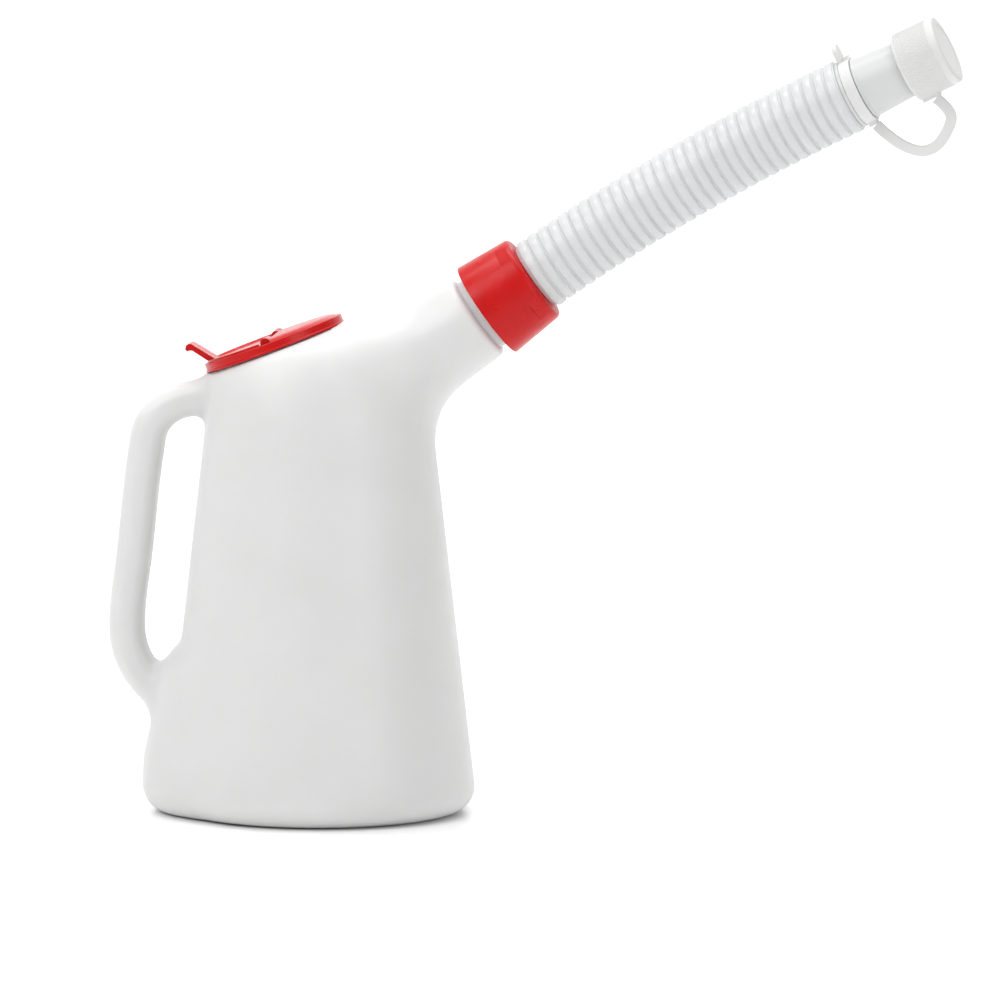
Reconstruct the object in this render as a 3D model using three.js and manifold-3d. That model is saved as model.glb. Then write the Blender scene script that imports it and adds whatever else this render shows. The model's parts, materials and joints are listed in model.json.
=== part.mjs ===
// Oil measuring jug with a hinged lid and a flexible pouring spout.
//
// Frame: millimetres, +Z up. The origin is the centre of the face that the jug stands on,
// +X points towards the spout, the handle is on -X, and the jug is symmetric about the XZ plane.
// The flexible hose is drawn as it stands in use: curved a little down and a little towards -Y.

import * as THREE from 'three';
import { mergeVertices } from 'three/addons/utils/BufferGeometryUtils.js';
import Module from 'manifold-3d';

const wasm = await Module();
wasm.setup();

// ---------- driving dimensions ----------

const RUNNING_GAP = 0.3;        // between two pieces that touch or turn on each other
const DEG = Math.PI / 180;

// jug body
const WALL = 2;
const BASE_RADIUS = 78.5;       // largest radius, just above the heel
const HEEL_RADIUS = 12;
const CONE_SLOPE = 0.115;       // radius lost for each millimetre of height
const SHOULDER_FRONT_Z = 186;   // where the side starts to turn in, at the two sides
const SHOULDER_TILT = 0.16;     // how much lower it starts on the spout's side
const SHOULDER_DROP = 6;        // corner of the shoulder below the lid's plane
const FOOT_REACH = 90;          // how far the foot under the handle stands out from the axis
const FOOT_DEPTH = 36;          // from there to the widest part of the foot
const FOOT_HEIGHT = 87;
const FOOT_HALF_WIDTH = 42;

// filler mouth and lid: a frame at the middle of the lid's lower rim, tilted with the lid
const LID_CENTRE_X = -21.9;
const LID_CENTRE_Z = 234.7;
const LID_TILT = 20.4 * DEG;
const COLLAR_RADIUS = 34;
const COLLAR_WALL = 3;
const COLLAR_TOP = 1.2;
const LID_RADIUS = 36.9;
const LID_RIM_HEIGHT = 4.6;
const LID_SKIRT_WALL = 2;
const LID_FLOOR = 1.3;          // thickness of the ledge that the flap closes on
const LEDGE_RADIUS = 28.5;      // radius of the opening under the flap
const DOME_RISE = 1.8;          // how far the fixed half stands over the rim
const FLAP_THICKNESS = 1.5;
const FLAP_LIP = 1.3;           // raised edge round the flap
const HINGE_Z = 4.9;
const BARREL_RADIUS = 2.3;
const BARREL_HALF_LENGTH = 25;
const KNUCKLE_LENGTH = 10;      // the flap's two short barrels, one at each end of the hinge
const PIN_RADIUS = 1.3;
const LUG_LENGTH = 5;
const TAB_LENGTH = 14.5;
const TAB_WIDTH = 14;
const TAB_THICKNESS = 2.6;
const TAB_ANGLE = 52 * DEG;     // above the lid's plane

// handle
const HANDLE_THICKNESS = 17.4;
const HANDLE_WIDTH = 25;
const HANDLE_WALL = 2.4;

// neck, union nut and seal: measured along the neck's axis from the jug's own axis
const NECK_FOOT_Z = 194;
const NECK_ANGLE = 35.3 * DEG;
const NECK_END = 99.5;
const NECK_RADIUS = 22.6;
const NECK_TAPER = 0.038;
const NECK_ROOT_FLARE = 11;
const NECK_BORE = 17.2;
const NECK_SHOULDER_ROUND = 3;
const SPIGOT_RADIUS = 19.4;
const SPIGOT_LENGTH = 22.5;
const NECK_THREAD = { pitch: 4, turns: 2.25, height: 1.2, width: 1.6 };
const THREAD_GAP = 0.45;
const NUT_START_GAP = 4.6;
const NUT_LENGTH = 29;
const NUT_RADIUS = 25.7;
const NUT_END_RADIUS = 23.2;
const NUT_SHOULDER_ROUND = 4.2;
const GASKET_THICKNESS = 2;
const FLANGE_THICKNESS = 2.6;
const SLEEVE_RADIUS = 15.2;
const SLEEVE_WALL = 1.5;

// flexible hose: each section carries two ridges and tucks into the next
const SECTIONS = 14;            // the tip carries the last two ridges itself
const RIDGE_PITCH = 6.1;
const RIDGES_PER_SECTION = 2;
const RIDGE_RADIUS = 18.9;
const RIDGE_WIDTH = 2.4;        // flat top of a ridge
const GROOVE_RADIUS = 16.7;
const GROOVE_WIDTH = 2.8;       // floor of a groove
const HOSE_BORE = 15.7;
const TUCK = 1.45;              // how far a section's end reaches past the bending plane
const HOSE_START_GAP = 1.7;     // nut's end to the first bending plane
const REST_DOWN = 9.3 * DEG;    // whole curve of the hose at rest, down
const REST_SIDE = 7 * DEG;      // and towards -Y

// tip, its thread, and the cap with its tether: measured from the end of the last ridges
const TIP_COLLAR_RADIUS = 17.4;
const TIP_COLLAR_START = 0.3;
const TIP_COLLAR_END = 2;
const RING_WIDTH = 5.4;
const RING_SEAT_RADIUS = 15.3;
const RING_RADIUS = 17.1;
const TIP_BEAD_RADIUS = 16.1;
const TIP_RADIUS = 15.5;
const TIP_END_RADIUS = 14.2;
const CAP_START = 31.5;
const TIP_LENGTH = 51;
const TIP_THREAD_RADIUS = 13.9;
const TIP_BORE = 12.2;
const TIP_THREAD = { pitch: 3.2, turns: 2, height: 1.1, width: 1.3 };
const CAP_RADIUS = 17.8;
const CAP_END_WALL = 2;
const SEAL_THICKNESS = 1.2;
const PULL_TAB_HEIGHT = 8.5;
const PULL_TAB_THICKNESS = 2.8;
const PULL_TAB_WIDTH = 9;
const STRAP_WIDTH = 5.6;
const STRAP_THICKNESS = 1.9;
const STRAP_DROP = 22.5;         // lowest point of the strap's loop below the ring
const CAP_BOSS = { length: 9, width: 8, height: 1.5 };
const CAP_BOSS_INSET = 1.2;

// facets round each piece
const ROUND = { jug: 48, jugInside: 32, neck: 28, lid: 36, flap: 40, nut: 28, hose: 16, tip: 22, cap: 24 };
const THREAD_STEPS = 16;        // for each turn

// ---------- materials ----------

const plastic = (color, roughness) => new THREE.MeshStandardMaterial({ color, roughness, metalness: 0 });
const MATERIAL = {
  jug: plastic(0xe9eae8, 0.45),
  lid: plastic(0xc71a1a, 0.4),
  nut: plastic(0xc41616, 0.35),
  seal: plastic(0x2a2a2a, 0.8),
  hose: plastic(0xe6e8e9, 0.25),
  tip: plastic(0xe4e6e6, 0.35),
  cap: plastic(0xf0f0ee, 0.5),
  liner: plastic(0xf6f6f2, 0.6),
};

// ---------- solids ----------

// A closed geometry with shared vertices becomes a solid that can be joined and cut.
function solid(geometry) {
  const bare = geometry.clone();
  bare.deleteAttribute('normal');
  bare.deleteAttribute('uv');
  const merged = mergeVertices(bare, 1e-4);
  const index = merged.index.array;
  const corners = [];
  for (let i = 0; i < index.length; i += 3) {
    const [a, b, c] = [index[i], index[i + 1], index[i + 2]];
    if (a !== b && b !== c && c !== a) corners.push(a, b, c);
  }
  const vertProperties = new Float32Array(merged.attributes.position.array);
  return new wasm.Manifold(new wasm.Mesh({ numProp: 3, vertProperties, triVerts: new Uint32Array(corners) }));
}

function join(...parts) {
  return parts.reduce((whole, part) => whole.add(part));
}

function piece(name, shape, material) {
  const mesh = shape.getMesh();
  const geometry = new THREE.BufferGeometry();
  geometry.setAttribute('position', new THREE.BufferAttribute(new Float32Array(mesh.vertProperties), 3));
  geometry.setIndex(new THREE.BufferAttribute(new Uint32Array(mesh.triVerts), 1));
  geometry.computeVertexNormals();
  const node = new THREE.Mesh(geometry, material);
  node.name = name;
  return node;
}

// Turns a closed outline of [radius, height] points about +Z.
function turnedGeometry(outline, facets) {
  const points = outline.map(([r, z]) => new THREE.Vector2(r, z));
  const onAxis = outline[0][0] === 0 && outline[outline.length - 1][0] === 0;
  if (!onAxis) points.push(points[0].clone());
  return new THREE.LatheGeometry(points, facets).rotateX(Math.PI / 2);
}

// The outline runs anticlockwise in the plane of radius and height, so that faces point out.
function turned(outline, facets) {
  return solid(turnedGeometry(outline, facets));
}

function block(sizeX, sizeY, sizeZ, x, y, z) {
  return solid(new THREE.BoxGeometry(sizeX, sizeY, sizeZ).translate(x, y, z));
}

function extruded(shape, depth, place) {
  const geometry = new THREE.ExtrudeGeometry(shape, { depth, bevelEnabled: false, curveSegments: 8 });
  return solid(geometry.applyMatrix4(place));
}

// A rod along Y, centred on the XZ plane.
function crossRod(radius, halfLength, x, z, facets) {
  const rod = new THREE.CylinderGeometry(radius, radius, 2 * halfLength, facets);
  return solid(rod.translate(x, 0, z));
}

function ellipseShape(halfX, halfY, points) {
  const shape = new THREE.Shape();
  shape.absellipse(0, 0, halfX, halfY, 0, 2 * Math.PI);
  return new THREE.Shape(shape.getPoints(points).slice(0, points));
}

// A rounded section swept along a curve; ends are flat.
function swept(curve, section, steps) {
  return solid(new THREE.ExtrudeGeometry(section, { steps, bevelEnabled: false, extrudePath: curve }));
}

// A straight bar of the thread's section, wound round the Z axis; it fades in and out at its ends.
function thread(spec, rootRadius, startZ, outwards) {
  const side = outwards ? 1 : -1;
  const root = -0.9;
  const flank = 0.3 * spec.width;
  const shape = new THREE.Shape([
    new THREE.Vector2(root, -spec.width / 2 - flank / 2),
    new THREE.Vector2(spec.height, -spec.width / 2 + flank / 2),
    new THREE.Vector2(spec.height, spec.width / 2 - flank / 2),
    new THREE.Vector2(root, spec.width / 2 + flank / 2),
  ]);
  const steps = Math.round(THREAD_STEPS * spec.turns);
  const bar = new THREE.ExtrudeGeometry(shape, { depth: 1, steps, bevelEnabled: false });
  const position = bar.attributes.position;
  for (let i = 0; i < position.count; i += 1) {
    const along = position.getZ(i);
    const fade = Math.min(1, 6 * Math.min(along, 1 - along) + 0.15);
    const height = position.getX(i) > 0 ? position.getX(i) * fade : position.getX(i);
    const radius = rootRadius + side * height;
    const angle = 2 * Math.PI * spec.turns * along;
    const rise = startZ + spec.pitch * spec.turns * along + position.getY(i);
    position.setXYZ(i, radius * Math.cos(angle), radius * Math.sin(angle), rise);
  }
  const wound = outwards ? flipped(bar) : bar;
  return solid(wound);
}

// Reverses the triangles of a geometry that a mapping has turned inside out.
function flipped(geometry) {
  const open = geometry.index ? geometry.toNonIndexed() : geometry;
  const position = open.attributes.position;
  const a = new THREE.Vector3();
  const b = new THREE.Vector3();
  for (let i = 0; i < position.count; i += 3) {
    a.fromBufferAttribute(position, i);
    b.fromBufferAttribute(position, i + 1);
    position.setXYZ(i, b.x, b.y, b.z);
    position.setXYZ(i + 1, a.x, a.y, a.z);
  }
  return open;
}

// ---------- frames ----------

const jugFrame = new THREE.Group();

const lidFrame = new THREE.Group();
lidFrame.position.set(LID_CENTRE_X, 0, LID_CENTRE_Z);
lidFrame.rotation.y = -LID_TILT;
lidFrame.updateMatrix();
jugFrame.add(lidFrame);

const neckFrame = new THREE.Group();
neckFrame.position.set(0, 0, NECK_FOOT_Z);
neckFrame.rotation.y = Math.PI / 2 - NECK_ANGLE;
neckFrame.updateMatrix();
jugFrame.add(neckFrame);

const spigotEnd = NECK_END + SPIGOT_LENGTH;
const gasketStart = spigotEnd + RUNNING_GAP;
const flangeStart = gasketStart + GASKET_THICKNESS + RUNNING_GAP;
const nutStart = NECK_END + NUT_START_GAP;
const nutEnd = nutStart + NUT_LENGTH;
const hoseStart = nutEnd + HOSE_START_GAP;
const sectionLength = RIDGE_PITCH * RIDGES_PER_SECTION;

// Every bending plane of the hose turns the next frame by the same small angles.
function bendingFrames() {
  const frames = [];
  let parent = neckFrame;
  for (let i = 0; i <= SECTIONS; i += 1) {
    const frame = new THREE.Group();
    frame.position.z = i === 0 ? hoseStart : sectionLength;
    frame.rotation.set(REST_SIDE / (SECTIONS + 1), REST_DOWN / (SECTIONS + 1), 0);
    parent.add(frame);
    frames.push(frame);
    parent = frame;
  }
  return frames;
}

const hoseFrames = bendingFrames();
const tipFrame = new THREE.Group();
tipFrame.position.z = sectionLength;
hoseFrames[SECTIONS].add(tipFrame);

// ---------- jug ----------

const coneRadius = (z) => BASE_RADIUS - CONE_SLOPE * (z - HEEL_RADIUS);

// The side and shoulder of the jug as a turned shape whose top leans over to meet the tilted mouth.
// Every meridian has the same number of points: heel, side, then a curve into the mouth's circle.
function bodyShell(inset, mouthRadius, facets, mouthRise) {
  const heelSteps = 4;
  const shoulderSteps = 7;
  const radius = (z) => coneRadius(z) - inset;
  const heel = Math.max(HEEL_RADIUS - inset, 2);
  const floor = inset;
  const outline = [[0, floor]];
  for (let i = 0; i <= heelSteps; i += 1) {
    const turn = (Math.PI / 2) * (i / heelSteps);
    const z = floor + heel * (1 - Math.cos(turn));
    outline.push([radius(HEEL_RADIUS) - heel * (1 - Math.sin(turn)), z]);
  }
  const shoulderRows = outline.length;
  for (let i = 0; i <= shoulderSteps; i += 1) outline.push([1, i]);
  outline.push([0, shoulderSteps]);
  const geometry = new THREE.LatheGeometry(outline.map(([r, z]) => new THREE.Vector2(r, z)), facets);
  geometry.rotateX(Math.PI / 2);
  const rows = outline.length;
  const position = geometry.attributes.position;
  const mouth = new THREE.Vector3();
  for (let i = 0; i < position.count; i += 1) {
    const row = i % rows;
    if (row < shoulderRows) continue;
    const angle = (2 * Math.PI * Math.floor(i / rows)) / facets - Math.PI / 2;
    const top = new THREE.Vector3(0, 0, mouthRise).applyMatrix4(lidFrame.matrix);
    if (row === rows - 1) {
      position.setXYZ(i, top.x, top.y, top.z);
      continue;
    }
    mouth.set(mouthRadius * Math.cos(angle), mouthRadius * Math.sin(angle), mouthRise);
    mouth.applyMatrix4(lidFrame.matrix);
    const startZ = SHOULDER_FRONT_Z * (1 - SHOULDER_TILT * 0.5 * Math.max(0, Math.cos(angle)) ** 2)
      - Math.min(0, Math.cos(angle)) * 16;
    const start = new THREE.Vector3(
      radius(startZ) * Math.cos(angle), radius(startZ) * Math.sin(angle), startZ);
    const planeZ = LID_CENTRE_Z + (start.x - LID_CENTRE_X) * Math.tan(LID_TILT) - SHOULDER_DROP;
    const cornerZ = Math.max(planeZ - inset, startZ + 8);
    const corner = new THREE.Vector3(
      radius(cornerZ) * Math.cos(angle), radius(cornerZ) * Math.sin(angle), cornerZ);
    const curve = new THREE.QuadraticBezierCurve3(start, corner, mouth.clone());
    const point = curve.getPoint((row - shoulderRows) / shoulderSteps);
    position.setXYZ(i, point.x, point.y, point.z);
  }
  return solid(geometry);
}

// The foot that carries the handle's lower end down to the base.
function footShell(inset) {
  const half = FOOT_HALF_WIDTH - inset;
  const reach = FOOT_DEPTH - inset;
  const round = HEEL_RADIUS - inset;
  const outline = [
    [0, inset], [half - round, inset], [half - 0.3 * round, inset + 0.3 * round], [half, inset + round],
    [0.98 * half, 0.32 * FOOT_HEIGHT], [0.87 * half, 0.5 * FOOT_HEIGHT], [0.8 * half, 0.72 * FOOT_HEIGHT],
    [0.68 * half, 0.88 * FOOT_HEIGHT - inset], [0.46 * half, 0.97 * FOOT_HEIGHT - inset],
    [0, FOOT_HEIGHT - inset],
  ];
  const geometry = turnedGeometry(outline, 28);
  geometry.scale(reach / half, 1, 1);
  geometry.translate(-(FOOT_REACH - FOOT_DEPTH), 0, 0);
  return solid(geometry);
}

// The handle's centre line: out of the shoulder, down the grip and back into the foot.
const handlePath = new THREE.CatmullRomCurve3([
  new THREE.Vector3(-46, 0, 212),
  new THREE.Vector3(-60, 0, 209.5),
  new THREE.Vector3(-75, 0, 205),
  new THREE.Vector3(-84.6, 0, 195.5),
  new THREE.Vector3(-88.2, 0, 180),
  new THREE.Vector3(-94, 0, 130),
  new THREE.Vector3(-97.8, 0, 99.5),
  new THREE.Vector3(-97.2, 0, 84.5),
  new THREE.Vector3(-91.5, 0, 70.5),
  new THREE.Vector3(-80.5, 0, 59),
  new THREE.Vector3(-64, 0, 49),
]);

function handleShell(inset, facets, steps) {
  const section = ellipseShape(HANDLE_WIDTH / 2 - inset, HANDLE_THICKNESS / 2 - inset, facets);
  return swept(handlePath, section, steps);
}

function neckOuter() {
  const rootRadius = (s) => NECK_RADIUS + NECK_TAPER * (NECK_END - s);
  const flareStart = 38;
  const flareEnd = 74;
  const outline = [[0, 20], [rootRadius(flareStart) + NECK_ROOT_FLARE - 4, 20]];
  const flareSteps = 5;
  for (let i = 0; i <= flareSteps; i += 1) {
    const s = flareStart + ((flareEnd - flareStart) * i) / flareSteps;
    const left = 1 - i / flareSteps;
    outline.push([rootRadius(s) + NECK_ROOT_FLARE * left * left, s]);
  }
  const round = NECK_SHOULDER_ROUND;
  outline.push([rootRadius(NECK_END), NECK_END - round]);
  outline.push([NECK_RADIUS - 0.3 * round, NECK_END - 0.3 * round]);
  outline.push([SPIGOT_RADIUS + 0.4, NECK_END]);
  outline.push([SPIGOT_RADIUS, NECK_END + 0.4]);
  outline.push([SPIGOT_RADIUS, spigotEnd - 0.6]);
  outline.push([SPIGOT_RADIUS - 0.6, spigotEnd]);
  outline.push([0, spigotEnd]);
  return turned(outline, ROUND.neck);
}

const inPlace = (shape, frame) => shape.transform(frame.matrix.elements.slice());

const threadStart = nutStart + 4;

function jugBody() {
  const neckThread = thread(NECK_THREAD, SPIGOT_RADIUS, threadStart, true);
  const neck = join(neckOuter(), neckThread);
  const collar = turned([[0, -12], [COLLAR_RADIUS - 1.5, -12], [COLLAR_RADIUS - 1.5, -0.6],
    [COLLAR_RADIUS, 0.2], [COLLAR_RADIUS - 0.5, COLLAR_TOP], [0, COLLAR_TOP]], ROUND.lid);
  const shoulderTop = -0.5;
  const outside = join(
    bodyShell(0, LID_RADIUS - 0.6, ROUND.jug, shoulderTop),
    footShell(0),
    handleShell(0, 14, 28),
    inPlace(neck, neckFrame),
    inPlace(collar, lidFrame),
  );
  const neckBore = turned([[0, 24], [NECK_BORE + 3, 24], [NECK_BORE + 3, 70], [NECK_BORE, 92],
    [NECK_BORE, spigotEnd + 5], [0, spigotEnd + 5]], 28);
  const mouthBore = turned([[0, -24], [COLLAR_RADIUS - COLLAR_WALL, -24],
    [COLLAR_RADIUS - COLLAR_WALL, COLLAR_TOP + 5], [0, COLLAR_TOP + 5]], 40);
  const inside = join(
    bodyShell(WALL, LID_RADIUS - 5, ROUND.jugInside, shoulderTop - 2.6),
    footShell(WALL),
    handleShell(HANDLE_WALL, 8, 20),
    inPlace(neckBore, neckFrame),
    inPlace(mouthBore, lidFrame),
  );
  return piece('jug_body', outside.subtract(inside), MATERIAL.jug);
}

// ---------- lid ----------

const flapRadius = LID_RADIUS - LID_SKIRT_WALL - RUNNING_GAP - 0.1;
const ledgeTop = COLLAR_TOP + RUNNING_GAP + LID_FLOOR;
const fixedHalfStart = BARREL_RADIUS + 0.7;

// Keeps the part of a shape on the spout's side (+X) or the handle's side (-X) of a line across the lid.
function sideOfLid(shape, x, side) {
  const reach = 120;
  return shape.intersect(block(reach, reach, reach, x + (side * reach) / 2, 0, 0));
}

function lidRing() {
  const skirtInner = COLLAR_RADIUS + RUNNING_GAP;
  const rim = LID_RADIUS - LID_SKIRT_WALL;
  const ring = turned([
    [skirtInner, 0], [LID_RADIUS - 0.5, 0], [LID_RADIUS, 0.6], [LID_RADIUS, LID_RIM_HEIGHT - 0.8],
    [LID_RADIUS - 0.8, LID_RIM_HEIGHT], [rim, LID_RIM_HEIGHT], [rim, ledgeTop],
    [LEDGE_RADIUS, ledgeTop], [LEDGE_RADIUS, ledgeTop - LID_FLOOR], [skirtInner, ledgeTop - LID_FLOOR],
  ], ROUND.lid);
  const domeTop = LID_RIM_HEIGHT + DOME_RISE;
  const dome = turned([
    [0, ledgeTop], [rim + 0.5, ledgeTop], [rim + 0.5, LID_RIM_HEIGHT - 0.3], [rim - 1, LID_RIM_HEIGHT],
    [rim - 5, domeTop - 0.5], [rim - 14, domeTop], [0, domeTop + 0.3],
  ], ROUND.lid);
  const bridge = block(4, 2 * rim - 2, LID_FLOOR, fixedHalfStart, 0, ledgeTop - LID_FLOOR / 2);
  const plate = turned([[0, ledgeTop - LID_FLOOR], [rim, ledgeTop - LID_FLOOR], [rim, ledgeTop + 0.2],
    [0, ledgeTop + 0.2]], 32);
  const fixedHalf = sideOfLid(join(dome, plate), fixedHalfStart, 1);
  const lugMiddle = BARREL_HALF_LENGTH + RUNNING_GAP + LUG_LENGTH / 2;
  let whole = join(ring, fixedHalf, bridge);
  for (const side of [-1, 1]) {
    const lug = solid(new THREE.CylinderGeometry(BARREL_RADIUS, BARREL_RADIUS, LUG_LENGTH, 16)
      .translate(0, side * lugMiddle, HINGE_Z));
    const stem = block(2 * BARREL_RADIUS, LUG_LENGTH, HINGE_Z - ledgeTop + 0.3,
      0, side * lugMiddle, (HINGE_Z + ledgeTop - 0.3) / 2);
    whole = join(whole, lug, stem);
  }
  const pinHole = crossRod(PIN_RADIUS + RUNNING_GAP, BARREL_HALF_LENGTH + LUG_LENGTH - 1, 0, HINGE_Z, 16);
  return piece('lid_ring', whole.subtract(pinHole), MATERIAL.lid);
}

function lidFlap() {
  const seat = ledgeTop + RUNNING_GAP;
  const top = seat + FLAP_THICKNESS;
  const edge = flapRadius;
  const disc = turned([
    [0, seat], [edge, seat], [edge, top + 0.4], [edge - 0.6, top + FLAP_LIP],
    [edge - 2.2, top + FLAP_LIP], [edge - 3, top], [0, top],
  ], ROUND.flap);
  const plug = turned([
    [LEDGE_RADIUS - 2.2, seat - 3], [LEDGE_RADIUS - 0.6, seat - 3], [LEDGE_RADIUS - 0.6, seat + 0.5],
    [LEDGE_RADIUS - 2.2, seat + 0.5],
  ], 36);
  const lugRoom = 14;
  let half = sideOfLid(disc, -1.2, -1);
  for (const side of [-1, 1]) {
    const middle = side * (BARREL_HALF_LENGTH + lugRoom / 2);
    half = half.subtract(block(2 * BARREL_RADIUS + 1.2, lugRoom, 12, 0, middle, HINGE_Z));
  }
  const plugHalf = sideOfLid(plug, -7, -1);
  for (const side of [-1, 1]) {
    const pinReach = LUG_LENGTH - 1.5;
    const knuckle = new THREE.CylinderGeometry(BARREL_RADIUS, BARREL_RADIUS, KNUCKLE_LENGTH, 16);
    const pin = new THREE.CylinderGeometry(PIN_RADIUS, PIN_RADIUS, KNUCKLE_LENGTH / 2 + pinReach, 12);
    knuckle.translate(0, side * (BARREL_HALF_LENGTH - KNUCKLE_LENGTH / 2), HINGE_Z);
    pin.translate(0, side * (BARREL_HALF_LENGTH + pinReach / 2 - KNUCKLE_LENGTH / 4), HINGE_Z);
    half = join(half, solid(knuckle), solid(pin));
  }
  const tabShape = new THREE.Shape([
    new THREE.Vector2(-3, -TAB_THICKNESS / 2), new THREE.Vector2(TAB_LENGTH - 1, -TAB_THICKNESS / 2),
    new THREE.Vector2(TAB_LENGTH - 1.6, -TAB_THICKNESS / 2 - 1.6),
    new THREE.Vector2(TAB_LENGTH + 0.8, -TAB_THICKNESS / 2 - 1.6),
    new THREE.Vector2(TAB_LENGTH + 1.2, TAB_THICKNESS / 4), new THREE.Vector2(TAB_LENGTH, TAB_THICKNESS / 2),
    new THREE.Vector2(-3, TAB_THICKNESS / 2),
  ]);
  const outwards = new THREE.Vector3(-Math.cos(TAB_ANGLE), 0, Math.sin(TAB_ANGLE));
  const upwards = new THREE.Vector3(Math.sin(TAB_ANGLE), 0, Math.cos(TAB_ANGLE));
  const tabPlace = new THREE.Matrix4().makeBasis(outwards, upwards, new THREE.Vector3(0, 1, 0));
  tabPlace.setPosition(-(edge - 3.2), -TAB_WIDTH / 2, top);
  const tab = extruded(tabShape, TAB_WIDTH, tabPlace);
  const belowSeat = block(80, 80, 20, -30, 0, seat - 10 + FLAP_THICKNESS / 2);
  return piece('lid_flap', join(half, plugHalf, tab.subtract(belowSeat)), MATERIAL.lid);
}

// ---------- union nut and seal ----------

function spoutNut() {
  const inner = SPIGOT_RADIUS + NECK_THREAD.height + THREAD_GAP;
  const chamber = flangeStart + FLANGE_THICKNESS + RUNNING_GAP;
  const opening = SLEEVE_RADIUS + RUNNING_GAP + 0.2;
  const round = NUT_SHOULDER_ROUND;
  const outerAt = (s) => NUT_RADIUS + ((NUT_END_RADIUS - NUT_RADIUS) * (s - nutStart)) / NUT_LENGTH;
  const outline = [[inner + 0.8, nutStart], [NUT_RADIUS - 0.4, nutStart], [NUT_RADIUS, nutStart + 0.5]];
  const roundSteps = 4;
  for (let i = 0; i <= roundSteps; i += 1) {
    const turn = (Math.PI / 2) * (i / roundSteps);
    const s = nutEnd - round + round * Math.sin(turn);
    outline.push([outerAt(nutEnd - round) - round * (1 - Math.cos(turn)), s]);
  }
  outline.push([opening + 0.5, nutEnd], [opening, nutEnd - 0.5], [opening, chamber]);
  outline.push([inner, chamber], [inner, nutStart + 1]);
  const shell = turned(outline, ROUND.nut);
  const grip = { ...NECK_THREAD, turns: NECK_THREAD.turns - 0.75 };
  const inThread = thread(grip, inner, threadStart + NECK_THREAD.pitch / 2, false);
  return piece('spout_nut', join(shell, inThread), MATERIAL.nut);
}

function gasket() {
  const end = gasketStart + GASKET_THICKNESS;
  const outer = SPIGOT_RADIUS + 0.6;
  const ring = turned([[NECK_BORE, gasketStart], [outer, gasketStart], [outer, end], [NECK_BORE, end]], 28);
  return piece('spout_gasket', ring, MATERIAL.seal);
}

// ---------- hose ----------

// The flanged end that the nut clamps; its last millimetres are the hose's first groove.
function hoseCuff() {
  const bore = SLEEVE_RADIUS - SLEEVE_WALL;
  const flangeEnd = flangeStart + FLANGE_THICKNESS;
  const outline = [
    [bore, flangeStart], [SPIGOT_RADIUS + 0.8, flangeStart], [SPIGOT_RADIUS + 0.8, flangeEnd],
    [SLEEVE_RADIUS, flangeEnd], [SLEEVE_RADIUS, nutEnd + RUNNING_GAP],
    [GROOVE_RADIUS, nutEnd + RUNNING_GAP + 0.5], [GROOVE_RADIUS, hoseStart + TUCK],
    [HOSE_BORE, hoseStart + TUCK], [HOSE_BORE - 0.6, nutEnd], [bore, nutEnd - 2],
  ];
  return piece('hose_cuff', turned(outline, 24), MATERIAL.hose);
}

const socketRadius = GROOVE_RADIUS + 0.6;
const SOCKET_DEPTH = 4.1;

// The outside of one pair of ridges, from the lip of its socket to its last groove.
function ridgeOutline(startZ) {
  const halfGroove = GROOVE_WIDTH / 2;
  const slope = (RIDGE_PITCH - GROOVE_WIDTH - RIDGE_WIDTH) / 2;
  const outline = [];
  for (let i = 0; i < RIDGES_PER_SECTION; i += 1) {
    const start = startZ + i * RIDGE_PITCH + halfGroove;
    const end = startZ + (i + 1) * RIDGE_PITCH - halfGroove;
    outline.push([i === 0 ? socketRadius : GROOVE_RADIUS, start], [RIDGE_RADIUS, start + slope]);
    outline.push([RIDGE_RADIUS, end - slope], [GROOVE_RADIUS, end]);
  }
  return outline;
}

function hoseSection(name) {
  const outline = ridgeOutline(0);
  outline.push([GROOVE_RADIUS, sectionLength + TUCK], [HOSE_BORE, sectionLength + TUCK]);
  outline.push([HOSE_BORE, SOCKET_DEPTH + 0.3], [socketRadius, SOCKET_DEPTH]);
  return piece(name, turned(outline, ROUND.hose), MATERIAL.hose);
}

// ---------- tip, tether and cap ----------

const ringStart = TIP_COLLAR_END + RUNNING_GAP;
const ringEnd = ringStart + RING_WIDTH;
const sealStart = TIP_LENGTH + RUNNING_GAP;
const capEnd = sealStart + SEAL_THICKNESS + RUNNING_GAP + CAP_END_WALL;
const tipThreadStart = CAP_START + 7;

function spoutTip() {
  const beadStart = ringEnd + RUNNING_GAP;
  const outline = [
    ...ridgeOutline(-sectionLength), [GROOVE_RADIUS, TIP_COLLAR_START - 0.3],
    [TIP_COLLAR_RADIUS, TIP_COLLAR_START], [TIP_COLLAR_RADIUS, TIP_COLLAR_END],
    [RING_SEAT_RADIUS, TIP_COLLAR_END],
    [RING_SEAT_RADIUS, beadStart], [TIP_BEAD_RADIUS, beadStart + 0.2], [TIP_BEAD_RADIUS, beadStart + 0.9],
    [TIP_RADIUS, beadStart + 1.8], [TIP_END_RADIUS, CAP_START + 0.6], [TIP_THREAD_RADIUS, CAP_START + 1.6],
    [TIP_THREAD_RADIUS, TIP_LENGTH - 0.5], [TIP_THREAD_RADIUS - 0.5, TIP_LENGTH],
    [TIP_BORE, TIP_LENGTH], [TIP_BORE, CAP_START], [RING_SEAT_RADIUS - 1.5, ringEnd],
    [RING_SEAT_RADIUS - 1.5, 1], [HOSE_BORE, -1], [HOSE_BORE, SOCKET_DEPTH + 0.3 - sectionLength],
    [socketRadius, SOCKET_DEPTH - sectionLength],
  ];
  const shell = turned(outline, ROUND.tip);
  const tipThread = thread(TIP_THREAD, TIP_THREAD_RADIUS, tipThreadStart, true);
  return piece('spout_tip', join(shell, tipThread), MATERIAL.tip);
}

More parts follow.
